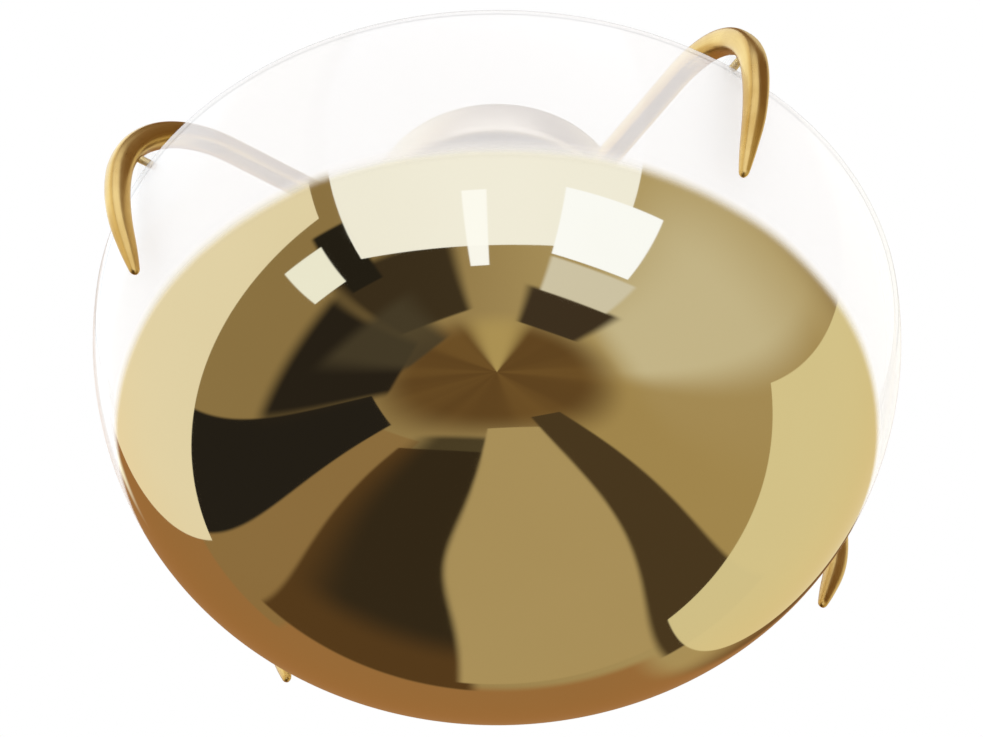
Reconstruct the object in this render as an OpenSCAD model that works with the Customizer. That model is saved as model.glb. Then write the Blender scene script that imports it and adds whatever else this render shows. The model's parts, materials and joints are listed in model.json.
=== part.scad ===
// Semi-flush ceiling light: a deep glass bowl held at its rim by four talon-shaped arms.
// Millimetres, +Z up. The origin is on the lamp's axis in the ceiling plane; all of it hangs below z = 0.

/* [Bowl] */
// Outer radius of the bowl at its rim
bowl_r = 250; // [240:1:260]
// Depth of the bowl, from the rim to the lowest point
bowl_h = 197; // [185:1:210]
// Thickness of the blown glass
glass_t = 3; // [2.5:0.5:4]
// Distance from the ceiling to the rim
rim_drop = 140; // [138:1:160]

/* [Talon arms] */
// Height of an arm's centre line above the rim
arm_rise = 56.5; // [54:0.5:60]
// Half of an arm's height
arm_half_h = 7.8; // [7.5:0.1:8.5]
// Half of an arm's width
arm_half_w = 6.8; // [6.5:0.1:7.5]
// Distance from the axis at which an arm starts to bend down
bend_start = 195; // [192:1:200]
// How far the bend reaches outwards
bend_out = 70.5; // [68:0.5:74]
// How far the bend comes down
bend_drop = 74; // [70:0.5:78]
// Radius of the curve below the bend
talon_curve_r = 146; // [130:1:160]
// Lean of a talon's point towards the glass, in degrees
talon_lean = 21; // [18:1:22]
// Straight length of a talon's point
talon_point = 28.5; // [26:0.5:30]

/* [Rim pins and clips] */
// Radius of a rim pin
pin_r = 2.5; // [2:0.1:3]
// Height of the pins' axes above the rim
pin_rise = 5.5; // [5:0.1:6]
// How far a pin screws back into its talon
pin_travel = 6.5; // [6:0.1:6.5]
// Width of a rim clip, along the rim
clip_w = 12; // [10:1:16]

/* [Canopy and stem] */
// Radius of the canopy
canopy_r = 83; // [80:1:90]
// Depth of the canopy
canopy_h = 28; // [26:1:30]

/* [Lamps] */
// Distance of a lampholder's axis from the lamp's axis
lamp_ring_r = 45; // [44:1:48]
// Radius of a bulb
bulb_r = 30; // [25:1:30]

/* [Hidden] */
lamps = 3;         // number of lampholders, evenly spaced
arms = 4;          // number of talon arms, evenly spaced

$fn = 96;
gap = 0.05;        // clearance between pieces that fit one another
slide_gap = 0.3;   // clearance around the stem of what slides on it
slack = 1;         // how far a cutting solid runs past the face that it cuts
rim_z = -rim_drop;
arm_z = rim_z + arm_rise;

// Colours
satin_brass = [0.74, 0.56, 0.25];
bright_brass = [0.80, 0.64, 0.32];
zinc = [0.72, 0.73, 0.74];
ceramic = [0.93, 0.92, 0.89];
ivory = [0.87, 0.86, 0.80];
ground_green = [0.20, 0.55, 0.28];
sleeve_grey = [0.45, 0.44, 0.40];
clear_plastic = [0.90, 0.95, 1.00, 0.4];
mirrored_glass = [0.86, 0.74, 0.45];
bulb_white = [1.00, 0.98, 0.93, 0.6];

// Crossbar: a strap whose middle is set down to leave room for the nut above it
strap_w = 25;
strap_t = 2;
strap_half = 60;
strap_mid_half = 30;
strap_ear = 36;
strap_set = 7;                       // depth of the set-down middle
slot_pitch = 88.9;
slot_w = 5.2;
slot_len = 13;
strap_under = -strap_set - strap_t;  // underside of the set-down middle
strap_bend = 0.7;                    // how much further out the strap's underside bends
ground_x = -22;
ground_r = 2;                        // ground screw: its shank, and its washer and head below the strap
ground_up = 6.5;
ground_washer = [4.6, 0.8];
ground_head = [4, 2.6];
driver_slot = [1, 1.2];              // width and depth of its driver slot

// Threaded tube and its nuts
nipple_r = 5;
nipple_bore = 3.5;
nipple_top = -2;
nut_t = 4;
nut_half_w = 7.5;
washer_t = 0.8;
washer_r = 8;
tooth = [2.2, 2];                    // length and width of a washer tooth
stem_top = strap_under - washer_t - nut_t - 6;
plug_len = 16;
window_w = 4.6;                      // side window through which the leads leave the nipple
window_h = 5.5;
stem_r = 10;
stem_bore = stem_r - 2;

// Hub
hub_r = 38;
hub_half_h = 13;
hub_edge = 3;
hub_top = arm_z + hub_half_h;
hub_under = arm_z - hub_half_h;
stem_seat = 5;
tenon_r = 5.5;
tenon_in = 20;
tenon_out = 48;
set_r = 2.5;
set_at = 29;
set_bite = 2;                        // how deep an arm's set screw sits in the arm's tenon
set_len = 8;
hex_key = [1.5, 3];                  // radius and depth of its hexagon socket

// Slip ring and its thumb screw
ring_h = 12;
ring_r = 17;
ring_turn = 45;
ring_band = 2.5;                     // plain band above and below the knurling
ring_step = 0.8;                     // depth of that band
knurl_r = 0.8;
knurl_pitch = 10;
thumb_r = 2;
thumb_out = 25;
thumb_collar_r = 3;
thumb_knob = [5, 4];                 // radius and length of the thumb screw's knob
thumb_flute_r = 0.7;
thumb_flute_pitch = 30;

// Lamp pan, wiring cap and lampholders
pan_r = 72;
pan_t = 1.6;
pan_skirt = 12;
boss_r = 20;
boss_h = 10;
notch_h = 5;
notch_w = 4.4;
cap_h = 30;
cap_wall = 1.2;
cap_edge = 6.2;
pan_nipple_down = 8;
holder_r = 19;
holder_h = 40;
holder_top = hub_under - pan_t;
holder_flange = 4;                   // height of the flange at the holder's mouth
holder_band = [4, 12];               // band around the holder, from and to below its top
holder_waist = 1.5;                  // how far its body stands in from flange and band
shell_r = 14;
shell_t = 0.5;
shell_top = 12;                      // the shell's closed end, below the holder's top
shell_hole = 6;                      // hole in that end, around the centre contact
contact_r = 2.5;
contact_len = 9.5;
contact_low = 15.5;
contact_head = [4, 2];
contact_head_low = 8;
bulb_cap_r = 13;
bulb_cap_h = 24;
bulb_h = 86;

// Leads
lead_r = 1;
lead_sides = 8;

// Outer radius of a glass shell of radius r0 and depth h0, at a depth d below its rim
belly_power = 2.03;
belly_root = 2.98;
function bowl_at(d, r0, h0) = r0 * pow(max(0, 1 - pow(d / h0, belly_power)), 1 / belly_root);

// Profile of the bowl's surface from the rim down to the axis, finer where it turns under
function bowl_curve(r0, h0, steps = 40) =
    [for (i = [0:steps]) let (d = h0 * sin(90 * i / steps)) [i == steps ? 0 : bowl_at(d, r0, h0), -d]];

function reversed(list) = [for (i = [len(list) - 1:-1:0]) list[i]];

// Centre line of an arm: [distance from axis, height above rim, angle turned downwards, part of the way]
bend_steps = 15;
curve_steps = 7;
point_steps = 8;
bend_len = 90 * PI / 180 * sqrt((pow(bend_out, 2) + pow(bend_drop, 2)) / 2);
curve_len = talon_curve_r * talon_lean * PI / 180;
hook_len = bend_len + curve_len + talon_point;
bend_line = [for (i = [0:bend_steps]) let (a = 90 * i / bend_steps) [
    bend_start + bend_out * sin(a),
    arm_rise - bend_drop * (1 - cos(a)),
    atan2(bend_drop * sin(a), bend_out * cos(a)),
    bend_len * a / 90 / hook_len]];
curve_top = [bend_start + bend_out, arm_rise - bend_drop];
curve_line = [for (i = [1:curve_steps]) let (a = talon_lean * i / curve_steps) [
    curve_top[0] - talon_curve_r * (1 - cos(a)),
    curve_top[1] - talon_curve_r * sin(a),
    90 + a,
    (bend_len + curve_len * i / curve_steps) / hook_len]];
curve_end = curve_line[curve_steps - 1];
point_line = [for (i = [1:point_steps]) let (f = i / point_steps, s = talon_point * f) [
    curve_end[0] - s * sin(talon_lean),
    curve_end[1] - s * cos(talon_lean),
    90 + talon_lean,
    (bend_len + curve_len + s) / hook_len]];
arm_line = concat([[hub_r - 2, arm_rise, 0, 0]], bend_line, curve_line, point_line);

// Section of an arm: a rounded square that swells a little at the shoulder and tapers to a blunt point
section_sides = 24;
section_power = 2.8;
tip_part = 0.23;
taper_power = 6.8;
shoulder_part = 0.12;
function taper(s) = (1 - 0.05 * s) * (1 - (1 - tip_part) * pow(s, taper_power));
function swell(s) = 1 + shoulder_part * sin(180 * s);
function squared(c) = sign(c) * pow(abs(c), 2 / section_power);
function arm_ring(p) = [for (k = [0:section_sides - 1]) let (
    a = 360 * k / section_sides,
    across = arm_half_w * taper(p[3]) * swell(p[3]) * squared(cos(a)),
    up = arm_half_h * taper(p[3]) * squared(sin(a)))
    [p[0] + up * sin(p[2]), across, rim_z + p[1] + up * cos(p[2])]];

// Solid swept through rings of points, each ring with the same number of sides
module swept(rings) {
    n = len(rings[0]);
    m = len(rings);
    polyhedron(
        points = [for (r = rings) for (p = r) p],
        faces = concat(
            [[for (k = [0:n - 1]) k]],
            [for (j = [0:m - 2]) for (k = [0:n - 1]) let (a = j * n + k, b = j * n + (k + 1) % n) each
                [[a, a + n, b + n], [a, b + n, b]]],
            [[for (k = [n - 1:-1:0]) (m - 1) * n + k]]));
}

// Round wire through a list of points; its rings stay square to the wire
function unit(v) = v / norm(v);
function heading(pts, i) = unit(pts[min(i + 1, len(pts) - 1)] - pts[max(i - 1, 0)]);
function wire_ring(pts, i, r, side) = let (
    t = heading(pts, i),
    u = unit(side - t * (side * t)),
    v = cross(t, u))
    [for (k = [0:lead_sides - 1]) let (a = -360 * k / lead_sides) pts[i] + r * (u * cos(a) + v * sin(a))];
module wire(pts, r, side) swept([for (i = [0:len(pts) - 1]) wire_ring(pts, i, r, side)]);

module tube(r_out, r_in, h) difference() {
    cylinder(r = r_out, h = h);
    translate([0, 0, -slack]) cylinder(r = r_in, h = h + 2 * slack);
}

// Cylinder along +X from x0 to x1
module rod_x(x0, x1, r) translate([x0, 0, 0]) rotate([0, 90, 0]) cylinder(r = r, h = x1 - x0);

module hex_nut(bore, half_width, h) difference() {
    cylinder(r = half_width / cos(30), h = h, $fn = 6);
    translate([0, 0, -slack]) cylinder(r = bore, h = h + 2 * slack);
}

module crossbar() color(zinc) difference() {
    translate([0, strap_w / 2, 0]) rotate([90, 0, 0]) linear_extrude(strap_w) polygon([
        [-strap_half, 0], [-strap_ear, 0], [-strap_mid_half, -strap_set], [strap_mid_half, -strap_set],
        [strap_ear, 0], [strap_half, 0], [strap_half, -strap_t], [strap_ear + strap_bend, -strap_t],
        [strap_mid_half + strap_bend, strap_under], [-strap_mid_half - strap_bend, strap_under],
        [-strap_ear - strap_bend, -strap_t], [-strap_half, -strap_t]]);
    for (side = [-1, 1]) translate([side * slot_pitch / 2, 0, -strap_t - slack]) slot(strap_t + 2 * slack);
    translate([0, 0, strap_under - slack]) cylinder(r = nipple_r + gap, h = strap_t + 2 * slack);
    translate([ground_x, 0, strap_under - slack]) cylinder(r = ground_r + gap, h = strap_t + 2 * slack);
}

// Round-ended slot along X
module slot(h) {
    straight = slot_len - slot_w;
    translate([-straight / 2, -slot_w / 2, 0]) cube([straight, slot_w, h]);
    for (side = [-1, 1]) translate([side * straight / 2, 0, 0]) cylinder(r = slot_w / 2, h = h);
}

ground_low = strap_under - ground_washer[1] - ground_head[1];
module ground_screw() color(ground_green) translate([ground_x, 0, 0]) difference() {
    union() {
        translate([0, 0, strap_under - ground_washer[1]]) {
            cylinder(r = ground_r, h = ground_washer[1] + ground_up);
            cylinder(r = ground_washer[0], h = ground_washer[1]);
        }
        translate([0, 0, ground_low]) cylinder(r = ground_head[0], h = ground_head[1]);
    }
    translate([-ground_head[0] - slack, -driver_slot[0] / 2, ground_low - slack])
        cube([2 * (ground_head[0] + slack), driver_slot[0], driver_slot[1] + slack]);
}

module nipple() color(zinc) difference() {
    translate([0, 0, stem_top - plug_len]) tube(nipple_r, nipple_bore, nipple_top - stem_top + plug_len);
    translate([0, -window_w / 2, stem_top]) cube([nipple_r + slack, window_w, window_h]);
}

module nipple_nuts() color(zinc) {
    translate([0, 0, -strap_set]) hex_nut(nipple_r + gap, nut_half_w, nut_t);
    translate([0, 0, strap_under - washer_t - nut_t]) hex_nut(nipple_r + gap, nut_half_w, nut_t);
}

// Toothed washer under the crossbar
module lock_washer() color(zinc) translate([0, 0, strap_under - washer_t]) difference() {
    union() {
        cylinder(r = washer_r, h = washer_t);
        for (a = [0:30:330]) rotate(a) translate([washer_r - 0.5, -tooth[1] / 2, 0])
            cube([tooth[0], tooth[1], washer_t]);
    }
    translate([0, 0, -slack]) cylinder(r = nipple_r + gap, h = washer_t + 2 * slack);
}

block = [14, 24, 11];
block_x = 24;
block_pitch = 8;
block_bore = 1.6;
clamp_x = 3.5;                       // distance of a clamp screw from the block's middle
clamp_r = 1.7;
clamp_h = 3;
clamp_up = 0.6;                      // its lower end, above the middle of the lead bores
clamp_slot = [0.6, 0.7];             // width and depth of its driver slot
module block_place(i) translate([block_x, (i - 1) * block_pitch, strap_under - block[2] / 2]) children();

module terminal_block() color(ivory) difference() {
    translate([block_x - block[0] / 2, -block[1] / 2, strap_under - block[2]]) cube(block);
    for (i = [0:2]) block_place(i) {
        rod_x(-block[0], block[0], block_bore);
        for (x = [-clamp_x, clamp_x]) translate([x, 0, -block[2]]) cylinder(r = clamp_r + 0.1, h = block[2]);
    }
}

module terminal_screws() color(bright_brass)
    for (i = [0:2]) block_place(i) for (x = [-clamp_x, clamp_x])
        translate([x, 0, -block[2] / 2 + clamp_up]) difference() {
            cylinder(r = clamp_r, h = clamp_h);
            translate([-clamp_r - slack, -clamp_slot[0] / 2, -slack])
                cube([2 * (clamp_r + slack), clamp_slot[0], clamp_slot[1] + slack]);
        }

// Two leads: terminal block, window, down inside the stem and the hub, into the wiring cap
window_z = stem_top + 2.5;
lead_low = hub_under - 16;
supply_route = [
    [18, 8, window_z + 2.8], [15.5, 7.8, window_z + 2.7], [12.5, 5.6, window_z + 1.9],
    [9.5, 2.6, window_z + 0.7], [7, 1.3, window_z + 0.1], [5, 1.15, window_z],
    [3.2, 1.15, window_z - 0.7], [1.9, 1.15, window_z - 2.3], [1.2, 1.15, window_z - 4.5],
    [0.8, 1.15, window_z - 8], [0.6, 1.15, window_z - 16], [0.6, 1.15, hub_top - 4],
    [0.6, 1.15, hub_under - 9], [0.4, 2.8, hub_under - 12], [0, 5, lead_low + 1], [0, 6, lead_low - 1]];
module supply_leads() {
    color(sleeve_grey) wire(supply_route, lead_r, [0, 1, 0]);
    color(sleeve_grey) mirror([0, 1, 0]) wire(supply_route, lead_r, [0, 1, 0]);
}

canopy_t = 1.2;
canopy_edge = 5;
// Spun cup with a rounded shoulder, open to the ceiling
module canopy() color(satin_brass) rotate_extrude($fn = 128) difference() {
    canopy_outline(canopy_r, canopy_h, canopy_edge);
    translate([0, canopy_t]) canopy_outline(canopy_r - canopy_t, canopy_h, canopy_edge - canopy_t);
    translate([0, -canopy_h - slack]) square([stem_r + slide_gap, canopy_h + 2 * slack]);
}
module canopy_outline(r, h, edge) {
    translate([0, -h]) square([r - edge, h]);
    translate([0, -h + edge]) square([r, h - edge]);
    translate([r - edge, -h + edge]) circle(edge, $fn = 48);
}

// Knurled ring that holds the canopy up
module slip_ring() color(satin_brass) translate([0, 0, -canopy_h - ring_h]) difference() {
    union() {
        cylinder(r = ring_r - ring_step, h = ring_h);
        translate([0, 0, ring_band]) cylinder(r = ring_r, h = ring_h - 2 * ring_band);
    }
    translate([0, 0, -slack]) cylinder(r = stem_r + slide_gap, h = ring_h + 2 * slack);
    rotate(ring_turn) translate([0, 0, ring_h / 2]) rod_x(stem_r, ring_r + slack, thumb_r + gap);
    for (a = [0:knurl_pitch:359]) if (abs(a - ring_turn) > knurl_pitch)
        rotate(a) translate([ring_r + 0.35, 0, ring_band - slack])
            cylinder(r = knurl_r, h = ring_h - 2 * ring_band + 2 * slack, $fn = 16);
}

module ring_screw() color(bright_brass) translate([0, 0, -canopy_h - ring_h / 2]) rotate(ring_turn) {
    rod_x(stem_r + slide_gap, thumb_out, thumb_r);
    rod_x(ring_r + 2.5, thumb_out, thumb_collar_r);
    difference() {
        rod_x(thumb_out - thumb_knob[1], thumb_out, thumb_knob[0]);
        for (a = [0:thumb_flute_pitch:359]) rotate([a, 0, 0]) translate([0, 0, thumb_knob[0] + 0.2])
            rod_x(thumb_out - thumb_knob[1] - slack, thumb_out + slack, thumb_flute_r);
    }
}

module stem() color(satin_brass) translate([0, 0, hub_top - stem_seat])
    tube(stem_r, stem_bore, stem_top - hub_top + stem_seat);

module stem_plug() color(zinc) translate([0, 0, stem_top - plug_len])
    tube(stem_bore - gap, nipple_r + gap, plug_len);

module hub() color(satin_brass) difference() {
    translate([0, 0, hub_under]) {
        cylinder(r = hub_r, h = 2 * hub_half_h - hub_edge);
        cylinder(r = hub_r - hub_edge, h = 2 * hub_half_h);
        translate([0, 0, 2 * hub_half_h - hub_edge])
            rotate_extrude() translate([hub_r - hub_edge, 0]) circle(hub_edge, $fn = 48);
    }
    translate([0, 0, hub_top - stem_seat]) cylinder(r = stem_r + gap, h = stem_seat + slack);
    translate([0, 0, hub_under - slack]) cylinder(r = nipple_r + gap, h = 2 * hub_half_h + 2 * slack);
    for (i = [1:arms]) arm_turn(i) {
        translate([0, 0, arm_z]) rod_x(tenon_in - 1, hub_r + slack, tenon_r + gap);
        translate([set_at, 0, arm_z]) cylinder(r = set_r + gap, h = hub_half_h + slack);
    }
}

// Turns what is drawn on the +X side to arm i
module arm_turn(i) rotate(360 / arms * (i - 1)) children();

module arm_set_screws() color(zinc)
    for (i = [1:arms]) arm_turn(i) translate([set_at, 0, arm_z + tenon_r - set_bite]) difference() {
        cylinder(r = set_r, h = set_len);
        translate([0, 0, set_len - hex_key[1]]) cylinder(r = hex_key[0], h = hex_key[1] + slack, $fn = 6);
    }

pin_in = bowl_r - 4;
pin_out = bowl_r + 9.5;
pin_z = rim_z + pin_rise;
pin_slot = [0.8, 1.2];               // width and depth of the driver slot in a pin's inner end
pin_bore_spare = 0.5;                // how much deeper the talon's bore is than the pin can go

// One arm with its talon, on the +X side
module talon_arm(i) color(satin_brass) arm_turn(i) difference() {
    union() {
        difference() {
            swept([for (p = arm_line) arm_ring(p)]);
            translate([0, 0, hub_under]) cylinder(r = hub_r + gap, h = 2 * hub_half_h);
        }
        translate([0, 0, arm_z]) rod_x(tenon_in, tenon_out, tenon_r);
    }
    translate([set_at, 0, arm_z + tenon_r - set_bite]) cylinder(r = set_r + gap, h = tenon_r);
    translate([0, 0, pin_z]) rod_x(bowl_r, pin_out + pin_travel + pin_bore_spare, pin_r + gap);
}

// Screw pin that runs from the talon over the rim into its clip; its inner end has a slot
module rim_pin(i) color(bright_brass) arm_turn(i) translate([0, 0, pin_z]) difference() {
    rod_x(pin_in, pin_out, pin_r);
    translate([pin_in - slack, -pin_r - slack, -pin_slot[0] / 2])
        cube([pin_slot[1] + slack, 2 * (pin_r + slack), pin_slot[0]]);
}

clip_in = bowl_r - glass_t - 2.2;
clip_out = bowl_r + 2;
clip_up = pin_rise + pin_r + 1.5;
clip_down = 8;
clip_lining = 0.15;
// Clear clip that straddles the rim and takes the pin above it
module rim_clip(i) color(clear_plastic) arm_turn(i) intersection() {
    difference() {
        rotate_extrude($fn = 256) difference() {
            translate([clip_in, rim_z - clip_down]) square([clip_out - clip_in, clip_down + clip_up]);
            translate([bowl_r - glass_t - clip_lining, rim_z - clip_down - slack])
                square([glass_t + 2 * clip_lining, clip_down + slack + clip_lining]);
        }
        translate([0, 0, pin_z]) rod_x(clip_in - slack, clip_out + slack, pin_r + gap);
    }
    translate([clip_in - slack, -clip_w / 2, rim_z - clip_down - slack])
        cube([clip_out - clip_in + 2 * slack, clip_w, clip_down + clip_up + 2 * slack]);
}

// Blown bowl, open to the ceiling; its lower part carries the gold mirror coating
module glass_bowl() color(mirrored_glass) translate([0, 0, rim_z]) rotate_extrude($fn = 256)
    polygon(concat(bowl_curve(bowl_r, bowl_h), reversed(bowl_curve(bowl_r - glass_t, bowl_h - glass_t))));

// Shallow pan that carries the lampholders under the hub
module lamp_pan() color(satin_brass) difference() {
    union() {
        translate([0, 0, holder_top]) cylinder(r = pan_r, h = pan_t);
        translate([0, 0, holder_top + pan_t - pan_skirt]) tube(pan_r, pan_r - pan_t, pan_skirt);
        translate([0, 0, holder_top - boss_h]) tube(boss_r, boss_r - pan_t, boss_h + pan_t / 2);
    }
    translate([0, 0, holder_top - slack]) cylinder(r = nipple_r + gap, h = pan_t + 2 * slack);
    for (i = [1:lamps]) lamp_place(i) translate([-lamp_ring_r, -notch_w / 2, -notch_h])
        cube([lamp_ring_r - holder_r, notch_w, notch_h]);
}

// Axis of lampholder i, with z = 0 at the underside of the pan and +X pointing outwards
module lamp_place(i) rotate(45 + 360 * (i - 1) / lamps) translate([lamp_ring_r, 0, holder_top]) children();

module pan_nipple() color(zinc) translate([0, 0, holder_top - pan_nipple_down])
    tube(nipple_r, nipple_bore, hub_top - stem_seat - 2 - holder_top + pan_nipple_down);

module pan_nut() color(zinc) translate([0, 0, holder_top - nut_t]) hex_nut(nipple_r + gap, nut_half_w, nut_t);

cap_r = boss_r + gap + cap_wall;
// Cap over the joined leads, pushed on to the pan's boss
module wiring_cap() color(satin_brass) translate([0, 0, holder_top]) rotate_extrude() difference() {
    union() {
        translate([0, -cap_h + cap_edge - 0.2]) square([cap_r, cap_h - cap_edge - notch_h]);
        translate([0, -cap_h]) square([cap_r - cap_edge, 8]);
        translate([cap_r - cap_edge, -cap_h + cap_edge]) circle(cap_edge, $fn = 48);
    }
    translate([0, -cap_h + 2]) square([cap_r - cap_edge - 1, 8]);
    translate([0, -cap_h + 7]) square([boss_r + gap, cap_h]);
}

crimp = [3.2, 9.5];                  // radius and length of a crimp cap
crimp_foot = [3.8, 3];
crimp_cup = [2.9, 3];
module crimp_caps() color(ivory) for (side = [-1, 1])
    translate([0, side * 6, lead_low - 8]) difference() {
        union() {
            cylinder(r = crimp[0], h = crimp[1]);
            cylinder(r = crimp_foot[0], h = crimp_foot[1]);
        }
        translate([0, 0, crimp[1] - crimp_cup[1]]) cylinder(r = crimp_cup[0], h = crimp_cup[1] + slack);
    }

// Ceramic lampholder body, open below
module lampholder(i) color(ceramic) lamp_place(i) rotate_extrude() difference() {
    union() {
        translate([0, -holder_h]) square([holder_r - holder_waist, holder_h]);
        translate([0, -holder_h]) square([holder_r, holder_flange]);
        translate([0, -holder_band[1]]) square([holder_r, holder_band[1] - holder_band[0]]);
    }
    translate([0, -holder_h - slack]) square([shell_r + shell_t + gap, holder_h - shell_top + slack]);
    translate([0, -contact_head_low - 1]) square([contact_head[0] + gap, 6]);
    translate([0, -shell_top - slack]) square([contact_r + gap, 5]);
}

// Threaded metal shell inside the lampholder
module screw_shell(i) color(bright_brass) lamp_place(i) rotate_extrude() union() {
    translate([shell_r, -holder_h + holder_flange]) square([shell_t, holder_h - holder_flange - shell_top]);
    translate([shell_hole, -shell_top - shell_t]) square([shell_r - shell_hole + shell_t, shell_t]);
}

module centre_contact(i) color(bright_brass) lamp_place(i) {
    translate([0, 0, -contact_low]) cylinder(r = contact_r, h = contact_len);
    translate([0, 0, -contact_head_low]) cylinder(r = contact_head[0], h = contact_head[1]);
}

holder_lead_route = [[-19.2, 0, -2.6], [-21, 0, -2.6], [-24, 0, -2.7], [-27.5, 0, -3.2],
    [-30, 0, -5], [-32, 0, -8], [-32.8, 0, -10.5]];
module holder_lead(i) color(sleeve_grey) lamp_place(i) wire(holder_lead_route, lead_r, [0, 1, 0]);

// Bulb: screw cap and pear-shaped globe
bulb_seat = -15.7;
globe_top = bulb_seat - bulb_cap_h + 2;
bulb_neck_in = 2;
cap_thread = [1, 3.2, 7];            // radius, pitch and first place of the rounded thread
cap_shoulder = [6, 4];
cap_button = [3, 2];
module bulb_cap(i) color(zinc) lamp_place(i) rotate_extrude() difference() {
    translate([0, bulb_seat]) union() {
        translate([0, -bulb_cap_h]) square([bulb_cap_r - 0.6, bulb_cap_h - cap_shoulder[1]]);
        for (k = [0:4]) translate([bulb_cap_r - cap_thread[0], -cap_thread[2] - cap_thread[1] * k])
            circle(cap_thread[0], $fn = 24);
        translate([0, -cap_shoulder[1] - slack]) square([cap_shoulder[0], cap_shoulder[1]]);
        translate([0, -cap_button[1]]) square(cap_button);
    }
    translate([0, bulb_seat - bulb_cap_h - slack]) square([neck_r + gap, bulb_neck_in + gap + slack]);
}

bulb_wall = 1;
inner_part = 1 - bulb_wall / bulb_r;
bulb_profile = [for (a = [-90:6:36]) [bulb_r * cos(a), bulb_r * sin(a)]];
neck_r = 12;
neck_steps = 8;
globe_c = globe_top - bulb_h + bulb_r;
neck_from = bulb_profile[len(bulb_profile) - 1];
collar_h = 3;
neck_to = [neck_r, bulb_h - bulb_r - collar_h];
neck_blend = 0.45;                   // share of the S-curve in the neck's straight taper
// Neck between the round globe and the cap
neck_profile = [for (k = [1:neck_steps]) let (
    f = k / neck_steps,
    s_curve = 3 * f * f - 2 * f * f * f,
    part = (1 - neck_blend) * f + neck_blend * s_curve)
    [neck_from[0] + (neck_to[0] - neck_from[0]) * part, neck_from[1] + (neck_to[1] - neck_from[1]) * f]];
module bulb_globe(i) color(bulb_white) lamp_place(i) translate([0, 0, globe_c]) rotate_extrude()
    difference() {
        polygon(concat(bulb_profile, neck_profile, [[neck_r, bulb_h - bulb_r], [0, bulb_h - bulb_r]]));
        polygon(concat(
            [for (p = concat(bulb_profile, neck_profile)) [max(0, p[0] - bulb_wall), p[1] * inner_part]],
            [[0, neck_to[1] * inner_part]]));
    }

crossbar();
ground_screw();
nipple();
nipple_nuts();
lock_washer();
terminal_block();
terminal_screws();
supply_leads();
canopy();
slip_ring();
ring_screw();
stem();
stem_plug();
hub();
arm_set_screws();
for (i = [1:arms]) {
    talon_arm(i);
    rim_pin(i);
    rim_clip(i);
}
glass_bowl();
lamp_pan();
pan_nipple();
pan_nut();
wiring_cap();
crimp_caps();
for (i = [1:lamps]) {
    lampholder(i);
    screw_shell(i);
    centre_contact(i);
    holder_lead(i);
    bulb_cap(i);
    bulb_globe(i);
}
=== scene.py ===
"""Looks of a semi-flush ceiling light with a gold-mirrored glass bowl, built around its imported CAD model.

All lengths are in metres and all places are in the CAD model's frame: +Z up, origin in the ceiling plane.
"""

import json
import math

import bpy
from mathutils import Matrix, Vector, noise


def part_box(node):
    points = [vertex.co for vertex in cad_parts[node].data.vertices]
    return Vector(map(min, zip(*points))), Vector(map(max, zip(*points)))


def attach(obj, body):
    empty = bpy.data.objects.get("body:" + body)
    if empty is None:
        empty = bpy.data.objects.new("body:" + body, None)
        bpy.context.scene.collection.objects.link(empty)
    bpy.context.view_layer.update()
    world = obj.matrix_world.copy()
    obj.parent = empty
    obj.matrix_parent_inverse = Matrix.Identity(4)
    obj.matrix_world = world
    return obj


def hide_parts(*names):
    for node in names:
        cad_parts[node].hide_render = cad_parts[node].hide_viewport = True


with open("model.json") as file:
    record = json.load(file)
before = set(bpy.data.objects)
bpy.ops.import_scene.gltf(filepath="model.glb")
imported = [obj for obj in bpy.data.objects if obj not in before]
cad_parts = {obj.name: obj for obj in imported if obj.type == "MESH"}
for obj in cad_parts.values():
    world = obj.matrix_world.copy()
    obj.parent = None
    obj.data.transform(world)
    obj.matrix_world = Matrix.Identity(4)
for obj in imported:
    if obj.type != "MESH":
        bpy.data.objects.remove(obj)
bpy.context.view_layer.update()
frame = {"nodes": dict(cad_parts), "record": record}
NODES = frame["nodes"]
SLOT_OF = {s["node"]: s["material_slot"] for s in frame["record"]["subparts"]}
BODY_OF = {n: b for b, members in frame["record"]["behaviour"]["bodies"].items() for n in members}

MM = 0.001
bowl_low, bowl_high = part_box("glass_bowl")
RIM_Z = bowl_high.z
RIM_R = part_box("rim_clip_1")[1].x - 2 * MM
BOWL_H = bowl_high.z - bowl_low.z
GLASS_T = 3 * MM
AROUND = (0, 90, 180, 270)

# ---------------------------------------------------------------- camera

VIEW_AZIMUTH = -33.5
VIEW_ELEVATION = -48.58
VIEW_DISTANCE = 6.970 * RIM_R
AIM_BELOW_RIM = 0.094 * RIM_R
LENS = 103.2
PRINCIPAL_SHIFT = -0.0056


def add_camera():
    az, el = math.radians(VIEW_AZIMUTH), math.radians(VIEW_ELEVATION)
    outward = Vector((math.sin(az) * math.cos(el), -math.cos(az) * math.cos(el), math.sin(el)))
    target = Vector((0, 0, RIM_Z - AIM_BELOW_RIM))
    data = bpy.data.cameras.new("camera")
    data.lens = LENS
    data.sensor_width = 36
    data.shift_x = PRINCIPAL_SHIFT
    data.clip_end = 50
    camera = bpy.data.objects.new("camera", data)
    camera.location = target + outward * VIEW_DISTANCE
    camera.rotation_euler = (-outward).to_track_quat("-Z", "Y").to_euler()
    bpy.context.scene.collection.objects.link(camera)
    bpy.context.scene.camera = camera


# ---------------------------------------------------------------- material nodes


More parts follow.
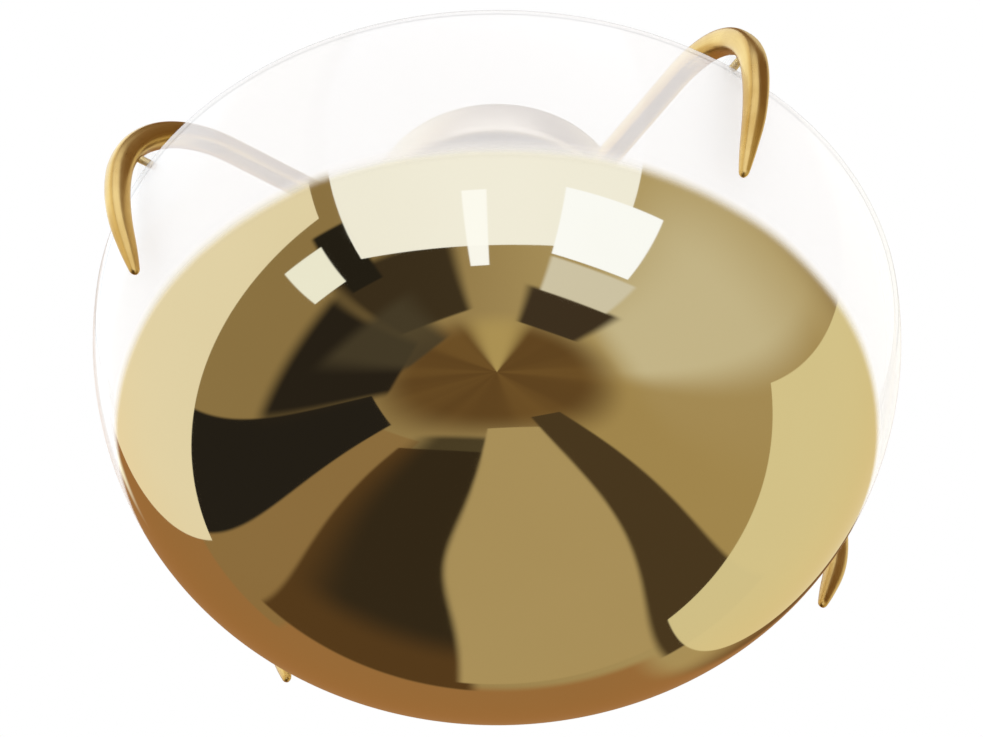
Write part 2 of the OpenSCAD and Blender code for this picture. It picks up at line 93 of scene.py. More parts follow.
class Shader:
    """A node tree with short helpers: node() returns a node, and the others return one of its outputs."""

    def __init__(self, tree):
        self.tree = tree
        self.tree.nodes.clear()

    def node(self, kind, **inputs):
        made = self.tree.nodes.new(kind)
        for name, value in inputs.items():
            self.feed(made, name.replace("_", " "), value)
        return made

    def feed(self, node, name, value):
        """Links or sets the input with that name, or with that number when the name is a digit."""
        socket = node.inputs[int(name)] if name.isdigit() else node.inputs[name]
        if isinstance(value, bpy.types.NodeSocket):
            self.tree.links.new(value, socket)
        else:
            socket.default_value = value

    def math(self, operation, a, b=0.0):
        made = self.tree.nodes.new("ShaderNodeMath")
        made.operation = operation
        for i, value in enumerate((a, b)):
            self.feed(made, str(i), value)
        return made.outputs[0]

    def dot(self, vector, direction):
        made = self.tree.nodes.new("ShaderNodeVectorMath")
        made.operation = "DOT_PRODUCT"
        self.feed(made, "0", vector)
        self.feed(made, "1", direction)
        return made.outputs["Value"]

    def split(self, vector):
        made = self.node("ShaderNodeSeparateXYZ", Vector=vector)
        return made.outputs

    def scaled(self, vector, scale):
        made = self.node("ShaderNodeMapping", Vector=vector, Scale=scale)
        return made.outputs[0]

    def noise(self, vector, scale, detail=2.0, roughness=0.5):
        made = self.node("ShaderNodeTexNoise", Vector=vector, Scale=scale, Detail=detail, Roughness=roughness)
        return made.outputs["Fac"]

    def ramp(self, value, low, high, to_low=0.0, to_high=1.0, smooth=False):
        made = self.tree.nodes.new("ShaderNodeMapRange")
        made.interpolation_type = "SMOOTHSTEP" if smooth else "LINEAR"
        for name, v in (("Value", value), ("From Min", low), ("From Max", high),
                        ("To Min", to_low), ("To Max", to_high)):
            self.feed(made, name, v)
        return made.outputs[0]

    def mix(self, factor, a, b):
        made = self.tree.nodes.new("ShaderNodeMix")
        made.data_type = "RGBA"
        for socket, value in ((made.inputs[0], factor), (made.inputs[6], a), (made.inputs[7], b)):
            if isinstance(value, bpy.types.NodeSocket):
                self.tree.links.new(value, socket)
            else:
                socket.default_value = value if isinstance(value, float) else rgba(value)
        return made.outputs[2]

    def bump(self, height, strength, distance):
        return self.node("ShaderNodeBump", Height=height, Strength=strength, Distance=distance).outputs[0]


def rgba(colour):
    return tuple(colour) + (1.0,) if len(colour) == 3 else tuple(colour)


def surface(name):
    """A new material with a Principled shader; returns the material, its Shader and the Principled node."""
    material = bpy.data.materials.new(name)
    material.use_nodes = True
    s = Shader(material.node_tree)
    principled = s.node("ShaderNodeBsdfPrincipled")
    out = s.node("ShaderNodeOutputMaterial")
    s.tree.links.new(principled.outputs[0], out.inputs["Surface"])
    return material, s, principled


def object_place(s):
    return s.node("ShaderNodeTexCoord").outputs["Object"]


def metal(name, dark, light, rough, grain=(1, 1, 1), grain_scale=900.0, grain_depth=0.00001, use_uv=False):
    """Metal whose colour drifts softly, with fine brush lines along the axis with the smallest grain value."""
    material, s, p = surface(name)
    place = object_place(s)
    lines_at = s.node("ShaderNodeTexCoord").outputs["UV"] if use_uv else place
    drift = s.noise(place, 28.0, 4.0, 0.55)
    smudge = s.noise(place, 95.0, 3.0, 0.6)
    lines = s.noise(s.scaled(lines_at, grain), grain_scale, 3.0, 0.6)
    tone = s.math("ADD", s.math("MULTIPLY", drift, 0.75), s.math("MULTIPLY", lines, 0.25))
    s.feed(p, "Base Color", s.mix(s.ramp(tone, 0.32, 0.68), dark, light))
    s.feed(p, "Metallic", 1.0)
    worn = s.math("ADD", s.math("MULTIPLY", smudge, 0.5), s.math("MULTIPLY", lines, 0.5))
    s.feed(p, "Roughness", s.ramp(worn, 0.3, 0.7, rough[0], rough[1]))
    s.feed(p, "Normal", s.bump(lines, 0.6, grain_depth))
    return material


def spun_metal(name, dark, light, rough):
    """Metal turned on a lathe about Z: fine rings around the axis."""
    material, s, p = surface(name)
    place = object_place(s)
    x, y, z = s.split(place)[:3]
    radius = s.math("SQRT", s.math("ADD", s.math("MULTIPLY", x, x), s.math("MULTIPLY", y, y)))
    rings_per_metre = 1400.0
    track = s.math("ADD", s.math("MULTIPLY", radius, rings_per_metre), s.math("MULTIPLY", z, rings_per_metre))
    rings_node = s.tree.nodes.new("ShaderNodeTexNoise")
    rings_node.noise_dimensions = "1D"
    s.feed(rings_node, "W", track)
    s.feed(rings_node, "Detail", 3.0)
    rings = rings_node.outputs["Fac"]
    drift = s.noise(place, 22.0, 4.0, 0.55)
    tone = s.math("ADD", s.math("MULTIPLY", drift, 0.7), s.math("MULTIPLY", rings, 0.3))
    s.feed(p, "Base Color", s.mix(s.ramp(tone, 0.32, 0.68), dark, light))
    s.feed(p, "Metallic", 1.0)
    worn = s.math("ADD", drift, s.math("MULTIPLY", rings, 0.5))
    s.feed(p, "Roughness", s.ramp(worn, 0.5, 1.0, rough[0], rough[1]))
    s.feed(p, "Normal", s.bump(rings, 0.5, 0.00002))
    return material


def moulded(name, colour, shade, rough, fleck_scale=400.0, coat=0.0, depth=0.00002):
    """Moulded or glazed stuff: soft mottling and a fine skin texture."""
    material, s, p = surface(name)
    place = object_place(s)
    mottle = s.noise(place, 45.0, 3.0)
    skin = s.noise(place, fleck_scale, 2.0)
    s.feed(p, "Base Color", s.mix(s.ramp(mottle, 0.3, 0.7), shade, colour))
    s.feed(p, "Roughness", s.ramp(skin, 0.3, 0.7, rough[0], rough[1]))
    s.feed(p, "Coat Weight", coat)
    s.feed(p, "Normal", s.bump(skin, 0.4, depth))
    return material


GOLD_LINE = RIM_Z - 0.398 * RIM_R     # height at which the coating is half clear
HALF_FADE = 8 * MM
CLEAR_VEIL = 0.44                     # opacity of the clear glass
# painted glow: white light the clear glass emits though it is no lamp, to brighten it and soften its shading
PAINTED_GLOW_CLEAR_GLASS = 0.345


def mirrored_glass():
    """Clear glass above that turns to a gold mirror below; the coating's edge is a soft fade. The clear part
    has a painted glow: it emits light though it is no lamp.
    """
    material, s, p = surface("mirrored_glass")
    place = object_place(s)
    height = s.split(place)[2]
    waver = s.ramp(s.noise(place, 9.0, 2.0), 0.3, 0.7, -0.0008, 0.0008)
    level = s.math("ADD", height, waver)
    coat = s.ramp(level, GOLD_LINE + HALF_FADE, GOLD_LINE - HALF_FADE, smooth=True)
    body = s.ramp(coat, 0.0, 0.9)
    drift = s.noise(place, 7.0, 3.0)
    gold = s.mix(s.ramp(drift, 0.3, 0.7), (0.75, 0.635, 0.375), (0.77, 0.655, 0.395))
    s.feed(p, "Base Color", s.mix(s.ramp(coat, 0.1, 0.7), (0.62, 0.605, 0.60), gold))
    s.feed(p, "Metallic", s.ramp(coat, 0.15, 0.7))
    s.feed(p, "Roughness", s.ramp(s.noise(place, 60.0, 3.0), 0.3, 0.7, 0.02, 0.035))
    s.feed(p, "Alpha", s.ramp(body, 0.0, 1.0, CLEAR_VEIL, 1.0))
    s.feed(p, "IOR", 1.5)
    s.feed(p, "Specular IOR Level", 0.25)
    s.feed(p, "Specular Tint", (1.0, 0.88, 0.70, 1.0))
    # painted glow: the clear glass emits white light, fading out where the gold coating starts
    s.feed(p, "Emission Color", (1.0, 1.0, 1.0, 1.0))
    s.feed(p, "Emission Strength", s.ramp(coat, 0.15, 0.8, PAINTED_GLOW_CLEAR_GLASS, 0.0))
    ripple = s.math("ADD", s.noise(place, 5.0, 1.0), s.math("MULTIPLY", s.noise(place, 24.0, 2.0), 0.12))
    s.feed(p, "Normal", s.bump(ripple, 0.12, 0.0006))
    return material


def rim_edge_glass():
    """The rim's two rounded corners, darker than the glass's faces: a painted dark reflection of the glass
    edge, the same all round.
    """
    material, s, p = surface("rim_edge_glass")
    fleck = s.noise(object_place(s), 300.0, 3.0)
    # painted dark reflection: a near-black colour instead of the edge reflecting the room
    s.feed(p, "Base Color", s.mix(s.ramp(fleck, 0.3, 0.7), (0.035, 0.032, 0.025), (0.09, 0.085, 0.07)))
    s.feed(p, "Roughness", s.ramp(fleck, 0.3, 0.7, 0.15, 0.3))
    s.feed(p, "Alpha", 0.42)
    return material


def clear_plastic():
    material, s, p = surface("clear_clip")
    swirl = s.noise(object_place(s), 180.0, 3.0)
    s.feed(p, "Base Color", s.mix(s.ramp(swirl, 0.3, 0.7), (0.88, 0.90, 0.90), (0.95, 0.96, 0.96)))
    s.feed(p, "Roughness", s.ramp(swirl, 0.3, 0.7, 0.06, 0.14))
    s.feed(p, "Alpha", 0.07)
    s.feed(p, "IOR", 1.49)
    return material


def frosted_bulb():
    material, s, p = surface("bulb_glass")
    frost = s.noise(object_place(s), 500.0, 3.0)
    s.feed(p, "Base Color", s.mix(s.ramp(frost, 0.3, 0.7), (0.90, 0.88, 0.83), (0.97, 0.96, 0.93)))
    s.feed(p, "Roughness", s.ramp(frost, 0.3, 0.7, 0.32, 0.42))
    s.feed(p, "Subsurface Weight", 0.2)
    s.feed(p, "Subsurface Radius", (0.01, 0.01, 0.008))
    s.feed(p, "Coat Weight", 0.25)
    s.feed(p, "Normal", s.bump(frost, 0.2, 0.00001))
    return material


MATERIALS = {
    "satin_brass": spun_metal("satin_brass", (0.47, 0.27, 0.065), (0.66, 0.43, 0.14), (0.26, 0.38)),
    "canopy_brass": spun_metal("canopy_brass", (0.70, 0.54, 0.32), (0.84, 0.68, 0.44), (0.34, 0.46)),
    "talon_brass": metal("talon_brass", (0.57, 0.33, 0.075), (0.80, 0.54, 0.17), (0.25, 0.35),
                         grain=(0.02, 1, 1), grain_scale=1500.0, use_uv=True),
    "bright_brass": metal("bright_brass", (0.74, 0.52, 0.20), (0.88, 0.67, 0.30), (0.20, 0.30)),
    "zinc_plate": metal("zinc_plate", (0.50, 0.50, 0.50), (0.66, 0.67, 0.69), (0.28, 0.45), grain=(0.05, 1, 1)),
    "nickel": metal("nickel", (0.60, 0.58, 0.54), (0.74, 0.72, 0.68), (0.16, 0.28)),
    "ceramic": moulded("ceramic", (0.86, 0.84, 0.79), (0.80, 0.77, 0.71), (0.18, 0.30), coat=0.6),
    "ivory_plastic": moulded("ivory_plastic", (0.76, 0.73, 0.64), (0.68, 0.65, 0.56), (0.4, 0.55)),
    "lead_sleeve": moulded("lead_sleeve", (0.42, 0.40, 0.36), (0.32, 0.31, 0.28), (0.45, 0.6)),
    "ground_green": metal("ground_green", (0.04, 0.24, 0.07), (0.07, 0.33, 0.11), (0.3, 0.4)),
    "mirrored_glass": mirrored_glass(),
    "rim_edge_glass": rim_edge_glass(),
    "clear_clip": clear_plastic(),
    "bulb_glass": frosted_bulb(),
}


# ---------------------------------------------------------------- mesh helpers


def add_mesh(name, points, faces, materials, uvs=None, face_material=None):
    mesh = bpy.data.meshes.new(name)
    mesh.from_pydata([tuple(p) for p in points], [], faces)
    for slot in materials:
        mesh.materials.append(MATERIALS[slot])
    for i, polygon in enumerate(mesh.polygons):
        polygon.use_smooth = True
        polygon.material_index = face_material[i] if face_material else 0
    if uvs:
        layer = mesh.uv_layers.new(name="UVMap")
        for loop in mesh.loops:
            layer.data[loop.index].uv = uvs[loop.vertex_index]
    mesh.validate()
    mesh.update()
    made = bpy.data.objects.new(name, mesh)
    bpy.context.scene.collection.objects.link(made)
    return made


def lathe(name, profile, materials, sides=128, centre=(0, 0), band_material=None, closed=False):
    """Turns a profile of (radius, z) points about Z; points on the axis become one vertex."""
    points, rows = [], []
    for r, z in profile:
        if r < 1e-7:
            rows.append([len(points)] * sides)
            points.append((centre[0], centre[1], z))
            continue
        rows.append(list(range(len(points), len(points) + sides)))
        for k in range(sides):
            a = 2 * math.pi * k / sides
            points.append((centre[0] + r * math.cos(a), centre[1] + r * math.sin(a), z))
    faces, kinds = [], []
    pairs = list(range(len(rows) - 1)) + ([len(rows) - 1] if closed else [])
    for j in pairs:
        low, high = rows[j], rows[(j + 1) % len(rows)]
        for k in range(sides):
            n = (k + 1) % sides
            corners = [low[k], low[n], high[n], high[k]]
            face = [v for i, v in enumerate(corners) if v != corners[i - 1]]
            if len(face) >= 3:
                faces.append(face)
                kinds.append(band_material[j] if band_material else 0)
    return add_mesh(name, points, faces, materials, face_material=kinds)


def sweep(name, rings, material, uvs=None):
    """Skin over rings of points, closed by a fan at each end."""
    n = len(rings[0])
    points = [p for ring in rings for p in ring]
    faces = []
    for j in range(len(rings) - 1):
        for k in range(n):
            m = (k + 1) % n
            faces.append([j * n + k, j * n + m, (j + 1) * n + m, (j + 1) * n + k])
    for first, ring in ((0, rings[0]), ((len(rings) - 1) * n, rings[-1])):
        middle = sum((Vector(p) for p in ring), Vector()) / n
        points.append(middle)
        hub = len(points) - 1
        for k in range(n):
            m = (k + 1) % n
            faces.append([first + m, first + k, hub] if first == 0 else [first + k, first + m, hub])
    if uvs:
        uvs = uvs + [uvs[0], uvs[-1]]
    return add_mesh(name, points, faces, [material], uvs=uvs)


def turned(point, degrees):
    a = math.radians(degrees)
    x, y, z = point
    return (x * math.cos(a) - y * math.sin(a), x * math.sin(a) + y * math.cos(a), z)


def crease(piece, degrees):
    """Smooth shading that keeps edges sharper than this angle."""
    piece.data.set_sharp_from_angle(angle=math.radians(degrees))


def place_piece(piece, node):
    body = BODY_OF[node]
    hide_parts(node)
    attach(piece, body)


# ---------------------------------------------------------------- bowl

BOWL_POWER = 2.03
BOWL_ROOT = 2.98
ROUNDING_STEPS = 4


def bowl_radius(depth, radius, height):
    return radius * max(0.0, 1 - (depth / height) ** BOWL_POWER) ** (1 / BOWL_ROOT)


def bowl_curve(radius, height, steps):
    """Points from the rim down to the axis, close together where the wall turns under."""
    curve = []
    for i in range(steps + 1):
        depth = height * math.sin(math.pi / 2 * i / steps)
        curve.append((0.0 if i == steps else bowl_radius(depth, radius, height), RIM_Z - depth))
    return curve


def make_bowl():
    steps = 110
    edge = 0.5 * MM
    quarter = [math.pi / 2 * i / ROUNDING_STEPS for i in range(ROUNDING_STEPS + 1)]
    outer = bowl_curve(RIM_R, BOWL_H, steps)
    inner = bowl_curve(RIM_R - GLASS_T, BOWL_H - GLASS_T, steps)
    rounding = [(RIM_R - edge * (1 - math.cos(a)), RIM_Z - edge * (1 - math.sin(a))) for a in quarter]
    inside = [(RIM_R - GLASS_T + edge * (1 - math.cos(a)), RIM_Z - edge * (1 - math.sin(a)))
              for a in reversed(quarter)]
    below_rounding = RIM_Z - edge * 1.05
    wall_out = [p for p in outer if p[1] < below_rounding]
    wall_in = [p for p in inner if p[1] < below_rounding]
    profile = list(reversed(wall_out)) + rounding + inside + wall_in
    bands = [0] * (len(profile) - 1)
    for first in (len(wall_out), len(wall_out) + len(rounding)):
        for j in range(first, first + len(rounding) - 1):
            bands[j] = 1
    piece = lathe("bowl_blown_glass", profile, ["mirrored_glass", "rim_edge_glass"],
                  sides=256, band_material=bands)
    place_piece(piece, "glass_bowl")


make_bowl()

# ---------------------------------------------------------------- talon arms

HUB_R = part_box("hub")[1].x
ARM_HALF_H, ARM_HALF_W = 7.8 * MM, 6.8 * MM
ARM_RISE = 56.5 * MM
BEND_START, BEND_OUT, BEND_DROP = 195 * MM, 70.5 * MM, 74 * MM
CURVE_R, LEAN, POINT_LEN = 146 * MM, math.radians(21), 28.5 * MM
TIP_PART, TAPER_POWER, SHOULDER_PART = 0.36, 6.8, 0.12
TIP_ROUNDING = 3.6 * MM
ARM_SIDES = 56
STRAIGHT_STEPS, BEND_STEPS, CURVE_STEPS, POINT_STEPS = 40, 56, 24, 40
CASTING_DEPTH = 0.16 * MM             # height of the cast surface's unevenness
CASTING_INSET = 0.08 * MM             # draws the uneven surface back towards the CAD arm


def arm_path():
    """Centre line as (radius, height above rim, downward angle, part of the hook), and the hook's length."""
    bend_len = math.pi / 2 * math.sqrt((BEND_OUT ** 2 + BEND_DROP ** 2) / 2)
    curve_len = CURVE_R * LEAN
    hook = bend_len + curve_len + POINT_LEN
    path = [(HUB_R + (BEND_START - HUB_R) * i / STRAIGHT_STEPS, ARM_RISE, 0.0, 0.0)
            for i in range(STRAIGHT_STEPS)]
    for i in range(BEND_STEPS + 1):
        a = math.pi / 2 * i / BEND_STEPS
        path.append((BEND_START + BEND_OUT * math.sin(a), ARM_RISE - BEND_DROP * (1 - math.cos(a)),
                     math.atan2(BEND_DROP * math.sin(a), BEND_OUT * math.cos(a)),
                     bend_len * i / BEND_STEPS / hook))
    top_r, top_h = BEND_START + BEND_OUT, ARM_RISE - BEND_DROP
    for i in range(1, CURVE_STEPS + 1):
        a = LEAN * i / CURVE_STEPS
        path.append((top_r - CURVE_R * (1 - math.cos(a)), top_h - CURVE_R * math.sin(a),
                     math.pi / 2 + a, (bend_len + curve_len * i / CURVE_STEPS) / hook))
    end_r, end_h = path[-1][:2]
    for i in range(1, POINT_STEPS + 1):
        along = POINT_LEN * (1 - (1 - i / POINT_STEPS) ** 1.6)
        path.append((end_r - along * math.sin(LEAN), end_h - along * math.cos(LEAN),
                     math.pi / 2 + LEAN, (bend_len + curve_len + along) / hook))
    return path, hook


def arm_section(part, hook):
    """Half width, half height and squareness (2 is round) of the section at that part of the hook."""
    taper = (1 - 0.05 * part) * (1 - (1 - TIP_PART) * part ** TAPER_POWER)
    to_tip = (1 - part) * hook
    if to_tip < TIP_ROUNDING:
        taper *= math.sqrt(max(0.01, 1 - (1 - to_tip / TIP_ROUNDING) ** 2))
    power = 2.7 - 0.5 * part ** 5
    return (ARM_HALF_W * taper * (1 + SHOULDER_PART * math.sin(math.pi * part)), ARM_HALF_H * taper, power)


def make_arm(index):
    path, hook = arm_path()
    rings, uvs, run = [], [], 0.0
    for j, (r, h, angle, part) in enumerate(path):
        if j:
            run += math.dist(path[j][:2], path[j - 1][:2])
        half_w, half_h, power = arm_section(part, hook)
        ring = []
        for k in range(ARM_SIDES):
            a = 2 * math.pi * k / ARM_SIDES
            c, d = math.cos(a), math.sin(a)
            across = half_w * math.copysign(abs(c) ** (2 / power), c)
            up = half_h * math.copysign(abs(d) ** (2 / power), d)
            uneven = CASTING_DEPTH * noise.noise(Vector((r * 45 + index * 7, across * 120 + h * 45, up * 120)))
            reach = max(1e-6, math.hypot(across, up))
            swell = uneven * min(1.0, half_h / ARM_HALF_H) - CASTING_INSET
            across += across / reach * swell
            up += up / reach * swell
            point = (r + up * math.sin(angle), across, RIM_Z + h + up * math.cos(angle))
            ring.append(turned(point, AROUND[index]))
            uvs.append((run, k / ARM_SIDES * 0.05))
        rings.append(ring)
    node = f"talon_arm_{index + 1}"
    piece = sweep(f"talon_casting_{index + 1}", rings, "talon_brass", uvs)
    piece.visible_glossy = False      # the photo's gold shows no talon
    place_piece(piece, node)


for number in range(4):
    make_arm(number)

# ---------------------------------------------------------------- pins, canopy and slip ring


def grid_rod(name, start, length, radius_at, material, sides, steps, axis="X", turn=0.0, offset=(0, 0, 0)):
    """A rod along an axis whose radius is radius_at(distance, angle), closed at both ends."""
    rings = []
    for j in range(steps + 1):
        x = length * j / steps
        ring = []
        for k in range(sides):
            a = 2 * math.pi * k / sides
            r = radius_at(x, a)
            along, u, v = start + x, r * math.cos(a), r * math.sin(a)
            point = (along, u, v) if axis == "X" else (u, -v, along)
            point = turned(point, turn)
            ring.append((point[0] + offset[0], point[1] + offset[1], point[2] + offset[2]))
        rings.append(ring)
    return sweep(name, rings, material)


def thread(radius, pitch, depth, length, chamfer):
    """Radius of a V-thread that runs out into a chamfer at each end."""

    def at(x, a):
        phase = (x / pitch + a / (2 * math.pi)) % 1.0
        ridge = radius - depth * abs(2 * phase - 1)
        near_end = min(x, length - x)
        return min(ridge, radius - chamfer + near_end) if near_end < chamfer else ridge

    return at


def make_rim_pins():
    low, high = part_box("rim_pin_1")
    radius, length = (high.z - low.z) / 2, high.x - low.x
    height = (high.z + low.z) / 2
    for i, turn in enumerate(AROUND):
        node = f"rim_pin_{i + 1}"
        profile = thread(radius, pitch=0.8 * MM, depth=0.28 * MM, length=length, chamfer=0.5 * MM)
        piece = grid_rod(f"pin_threaded_{i + 1}", low.x, length, profile, "bright_brass",
                         sides=32, steps=120, turn=turn, offset=(0, 0, height))
        place_piece(piece, node)


make_rim_pins()

STEM_HOLE_R = 10.3 * MM               # hole for the stem in the canopy and in the slip ring


def make_canopy():
    low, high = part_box("canopy")
    radius, wall, shoulder = high.x, 1.2 * MM, 5 * MM
    bend = [math.pi / 2 * i / 12 for i in range(1, 13)]
    hole = STEM_HOLE_R
    bottom = low.z
    outer = [(hole, bottom), (radius - shoulder, bottom)]
    outer += [(radius - shoulder + shoulder * math.sin(a), bottom + shoulder * (1 - math.cos(a))) for a in bend]
    outer += [(radius, high.z - 1.0 * MM), (radius - 0.3 * MM, high.z - 0.3 * MM), (radius - 0.6 * MM, high.z)]
    inner = [(radius - wall, high.z - 0.3 * MM), (radius - wall, bottom + shoulder)]
    inner += [(radius - shoulder + (shoulder - wall) * math.cos(a),
               bottom + shoulder - (shoulder - wall) * math.sin(a)) for a in bend]
    inner += [(hole, bottom + wall)]
    piece = lathe("canopy_spun_cup", outer + inner, ["canopy_brass"], sides=160, closed=True)
    crease(piece, 40)
    place_piece(piece, "canopy")


def make_slip_ring():
    low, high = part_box("slip_ring")
    radius, height, hole = high.x, high.z - low.z, STEM_HOLE_R
    band, chamfer = 2.5 * MM, 0.25 * MM
    steps, sides, turns = 40, 240, 40
    rows = []

    def knurl(z, a):
        if z < band or z > height - band:
            return 0.0
        slope = (z - band) / (height - 2 * band)
        one = abs(((a / (2 * math.pi) * turns + slope * 3) % 1.0) * 2 - 1)
        two = abs(((a / (2 * math.pi) * turns - slope * 3) % 1.0) * 2 - 1)
        return 0.7 * MM * min(1.0, 1.4 * min(one, two))

    zs = [0.0, chamfer] + [band * 0.98] + [band + (height - 2 * band) * i / steps for i in range(steps + 1)]
    zs += [height - band * 0.98, height - chamfer, height]
    for z in zs:
        ring = []
        for k in range(sides):
            a = 2 * math.pi * k / sides
            in_band = band <= z <= height - band
            r = radius - 0.75 * MM + knurl(z, a) if in_band else radius - 0.9 * MM
            if z in (0.0, height):
                r -= chamfer
            ring.append((r * math.cos(a), r * math.sin(a), low.z + z))
        rows.append(ring)
    rows += [[(hole * math.cos(2 * math.pi * k / sides), hole * math.sin(2 * math.pi * k / sides), z)
              for k in range(sides)] for z in (high.z, low.z)]
    points = [p for row in rows for p in row]
    faces = []
    for j in range(len(rows)):
        for k in range(sides):
            n, m = (k + 1) % sides, (j + 1) % len(rows)
            faces.append([j * sides + k, j * sides + n, m * sides + n, m * sides + k])
    piece = add_mesh("slip_ring_knurled", points, faces, ["bright_brass"])
    crease(piece, 35)
    place_piece(piece, "slip_ring")


make_canopy()
make_slip_ring()

# ---------------------------------------------------------------- bulbs


def make_bulb(i):
    low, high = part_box(f"bulb_globe_{i}")
    centre = ((low.x + high.x) / 2, (low.y + high.y) / 2)
    radius = (high.x - low.x) / 2
    neck = 12 * MM
    straight = 3 * MM
    middle = low.z + radius
    turn_from = math.radians(36)
    profile = [(radius * math.cos(a), middle + radius * math.sin(a))
               for a in (-math.pi / 2 + (turn_from + math.pi / 2) * n / 40 for n in range(41))]
    profile[0] = (0.0, low.z)
    r0, z0 = profile[-1]
    z1 = high.z - straight
    for n in range(1, 25):
        f = n / 24
        eased = 3 * f * f - 2 * f ** 3
        profile.append((r0 + (neck - r0) * (0.55 * f + 0.45 * eased), z0 + (z1 - z0) * f))
    profile += [(neck, high.z), (0.0, high.z)]
    piece = lathe(f"bulb_frosted_{i}", profile, ["bulb_glass"], sides=72, centre=centre)
    crease(piece, 50)
    place_piece(piece, f"bulb_globe_{i}")
    cap_low, cap_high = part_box(f"bulb_cap_{i}")
    cap_r = (cap_high.x - cap_low.x) / 2
    cap_len = cap_high.z - cap_low.z

    def cap_radius(z, a):
        if z < 3 * MM:
            return cap_r - 0.5 * MM
        if z > cap_len - 2 * MM:
            return 3 * MM
        if z > cap_len - 5 * MM:
            return cap_r - 1.6 * MM - (z - cap_len + 5 * MM) / (3 * MM) * (cap_r - 5.5 * MM)
        phase = (z / (3.6 * MM) + a / (2 * math.pi)) % 1.0
        return cap_r - 0.9 * MM + 0.8 * MM * math.sin(2 * math.pi * phase)

    cap = grid_rod(f"bulb_screw_cap_{i}", cap_low.z, cap_len, cap_radius, "nickel",
                   sides=64, steps=96, axis="Z", offset=(centre[0], centre[1], 0))
    crease(cap, 50)
    place_piece(cap, f"bulb_cap_{i}")


for number in range(1, 4):
    make_bulb(number)

# ---------------------------------------------------------------- CAD nodes that stay

STAYS_AS = {"hub": "satin_brass", "stem": "satin_brass", "lamp_pan": "satin_brass", "wiring_cap": "satin_brass"}
for node_name, node_object in NODES.items():
    if node_object.hide_render:
        continue
    node_object.data.materials.clear()
    node_object.data.materials.append(MATERIALS[STAYS_AS.get(node_name, SLOT_OF[node_name])])
    node_object.data.polygons.foreach_set("use_smooth", [True] * len(node_object.data.polygons))
    crease(node_object, 30)

# ---------------------------------------------------------------- studio

FLOOR_Z = -2.4
RIGHT = Vector((math.cos(math.radians(VIEW_AZIMUTH)), math.sin(math.radians(VIEW_AZIMUTH)), 0))
NEAR = Vector((math.sin(math.radians(VIEW_AZIMUTH)), -math.cos(math.radians(VIEW_AZIMUTH)), 0))


def direction(bearing, elevation):
    """Unit vector: bearing 0 is towards the camera's side, 90 to its right, 180 away from it."""
    b, e = math.radians(bearing), math.radians(elevation)
    return (NEAR * math.cos(b) + RIGHT * math.sin(b)) * math.cos(e) + Vector((0, 0, math.sin(e)))


def floor():
    bpy.ops.mesh.primitive_plane_add(size=14, location=(0, 0, FLOOR_Z))
    made = bpy.context.object
    made.name = "floor"
    material, s, p = surface("floor")
    s.feed(p, "Base Color", (0.86, 0.85, 0.83, 1))
    s.feed(p, "Roughness", 0.8)
    made.data.materials.append(material)
    made.visible_glossy = False


# Upright panels around the lamp, seen only as reflections: bearing, half width, low and high edge at the
# middle (degrees), softness of the edges, colour, share of that colour
PANELS = [
    (80, 20, -60, -26, 0.85, (0.74, 0.73, 0.66), 0.92),
    (124, 22, -78, -4, 0.40, (0.46, 0.36, 0.18), 0.9),
    (-165, 28, -12, 80, 0.10, (0.40, 0.225, 0.105), 1.0),
    (-146, 9, -66, -8, 0.03, (0.34, 0.235, 0.12), 1.0),
    (-164.5, 12.5, -64, -14, 0.03, (0.115, 0.065, 0.028), 1.0),
    (-170, 7, -67, -36, 0.25, (0.030, 0.026, 0.020), 0.85),
    (172.5, 10.5, -71, -18, 0.02, (0.52, 0.43, 0.26), 1.0),
    (154, 8, -74, -10, 0.03, (0.085, 0.060, 0.035), 1.0),
    (-122, 14, -68, -4, 0.02, (0.022, 0.020, 0.020), 1.0),
    (-82, 22, -72, -46, 0.20, (0.026, 0.022, 0.020), 1.0),
    (-34, 17, -66, -38, 0.12, (0.040, 0.030, 0.022), 0.95),
    (-60, 16, -74, -58, 0.30, (0.080, 0.070, 0.055), 0.9),
    (-45, 5, -43, -18, 0.03, (0.022, 0.020, 0.018), 1.0),
    (-56, 6, -38, -22, 0.01, (1.10, 1.25, 1.60), 1.0),
    (33, 17, -71, -58, 0.12, (0.060, 0.045, 0.035), 1.0),
    (33, 14, -57, -44, 0.04, (0.80, 0.84, 0.95), 1.0),
]
PANELS_UNDER_FLOOR = 2                # the first panels lie under the floor boards
# The large softboxes, in the same terms; the last one hangs high on the left
SOFTBOXES = [
    (-3, 38.5, -40, 60, 0.006, (1.14, 1.28, 1.74), 1.0),
    (-92.5, 45.5, -16, 80, 0.006, (0.985, 0.985, 0.965), 1.0),
    (129, 31, -28.5, 80, 0.006, (0.885, 0.865, 0.67), 0.93),
    (-113, 32, 38, 80, 0.15, (1.30, 1.50, 1.70), 1.0),
]
# Two bright daylight panels laid over the front softbox
DAYLIGHT = [
    (31, 13, -42, -15, 0.01, (1.26, 1.48, 2.30), 1.0),
    (-6, 3, -48, -18, 0.01, (1.28, 1.48, 2.20), 0.95),
]


def lay_panel(s, look, height, under, panel):
    """Mixes one upright panel over the colour under it, as seen in direction look."""
    bearing, half_width, low, high, soft, colour, share = panel
    ahead = s.dot(look, direction(bearing, 0))
    across = s.math("ABSOLUTE", s.math("DIVIDE", s.dot(look, direction(bearing + 90, 0)), ahead))
    up = s.math("DIVIDE", height, ahead)
    side, bottom, top = (math.tan(math.radians(a)) for a in (half_width, low, high))
    inside = s.math("MULTIPLY", s.ramp(across, side + soft, side, smooth=True),
                    s.ramp(up, bottom - soft, bottom, smooth=True))
    inside = s.math("MULTIPLY", inside, s.ramp(up, top + soft, top, smooth=True))
    facing = s.ramp(ahead, 0.01, 0.02, 0.0, share)
    return s.mix(s.math("MULTIPLY", inside, facing), under, colour)


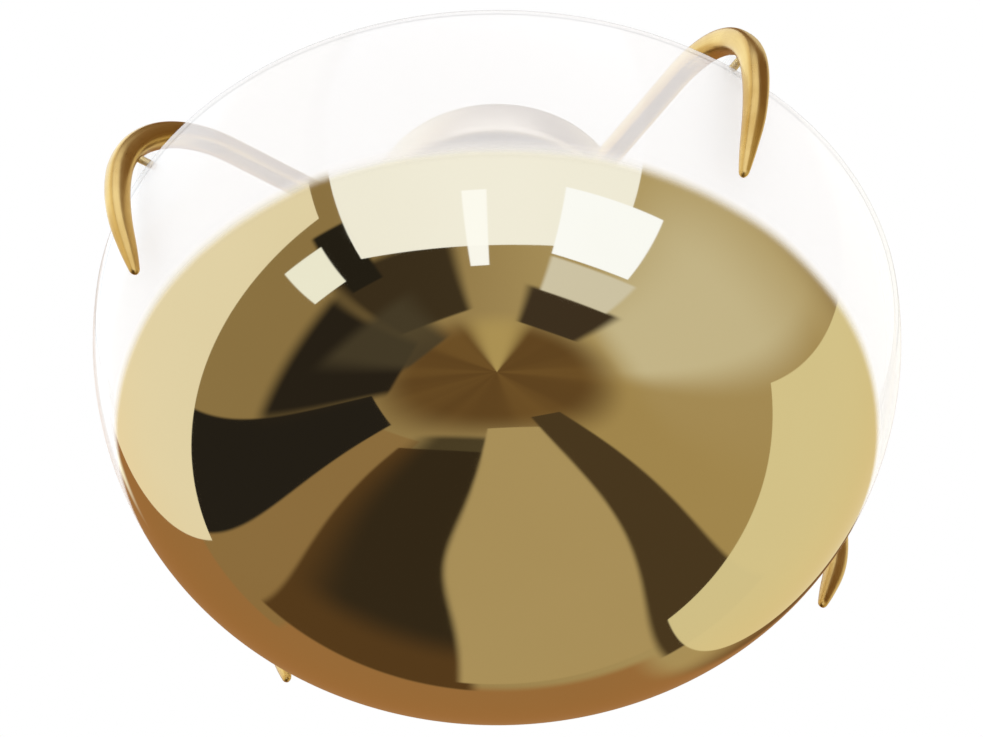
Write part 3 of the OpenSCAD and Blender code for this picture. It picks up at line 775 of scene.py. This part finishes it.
def warm_floor(s, look, height, under):
    """Brown boards far below, drawn out into rays around straight down."""
    rays = s.node("ShaderNodeCombineXYZ", X=s.dot(look, NEAR), Y=s.dot(look, RIGHT))
    spokes = s.node("ShaderNodeVectorMath")
    spokes.operation = "NORMALIZE"
    s.feed(spokes, "0", rays.outputs[0])
    streak = s.noise(spokes.outputs[0], 1.7, 2.0, 0.4)
    front = s.ramp(s.dot(spokes.outputs[0], (1, 0, 0)), 0.90, 1.0, smooth=True)
    boards = s.mix(s.ramp(streak, 0.35, 0.65, smooth=True), (0.15, 0.088, 0.037), (0.20, 0.122, 0.05))
    boards = s.mix(s.math("MULTIPLY", front, 0.8), boards, (0.62, 0.52, 0.27))
    return s.mix(s.ramp(height, -0.91, -0.97, smooth=True), under, boards)


def studio_world():
    world = bpy.data.worlds.new("studio")
    bpy.context.scene.world = world
    world.use_nodes = True
    s = Shader(world.node_tree)
    look = s.node("ShaderNodeTexCoord").outputs["Generated"]
    height = s.split(look)[2]
    wall = s.mix(s.ramp(s.dot(look, RIGHT), -0.6, 0.7, smooth=True), (0.34, 0.26, 0.14), (0.55, 0.47, 0.29))
    sky = s.mix(s.ramp(height, 0.0, 0.5, smooth=True), wall, (0.20, 0.115, 0.05))
    for panel in PANELS[:PANELS_UNDER_FLOOR]:
        sky = lay_panel(s, look, height, sky, panel)
    sky = warm_floor(s, look, height, sky)
    for panel in PANELS[PANELS_UNDER_FLOOR:] + SOFTBOXES + DAYLIGHT:
        sky = lay_panel(s, look, height, sky, panel)
    path = s.node("ShaderNodeLightPath").outputs
    # a mirror ray off the lamp has depth 2 here, so anything above is a second bounce
    sky = s.mix(s.ramp(path["Ray Depth"], 2.4, 2.6), sky, (0.20, 0.15, 0.09))
    plain = s.mix(path["Is Camera Ray"], (1.10, 1.10, 1.10), (1.0, 1.0, 1.0))
    chosen = s.mix(path["Is Glossy Ray"], plain, sky)
    background = s.node("ShaderNodeBackground", Color=chosen, Strength=1.0)
    out = s.node("ShaderNodeOutputWorld")
    s.tree.links.new(background.outputs[0], out.inputs[0])


def soft_light(name, bearing, elevation, distance, size, power):
    data = bpy.data.lights.new(name, "AREA")
    data.shape = "RECTANGLE"
    data.size, data.size_y = size
    data.energy = power
    made = bpy.data.objects.new(name, data)
    aim = Vector((0, 0, RIM_Z))
    outward = direction(bearing, elevation)
    made.location = aim + outward * distance
    made.rotation_euler = outward.to_track_quat("Z", "Y").to_euler()
    made.visible_glossy = False
    bpy.context.scene.collection.objects.link(made)


add_camera()
floor()
studio_world()
soft_light("top_softbox", 60, 55, 2.4, (1.2, 1.2), 18)
bpy.context.scene.view_settings.view_transform = "Standard"
bpy.context.scene.render.film_transparent = False
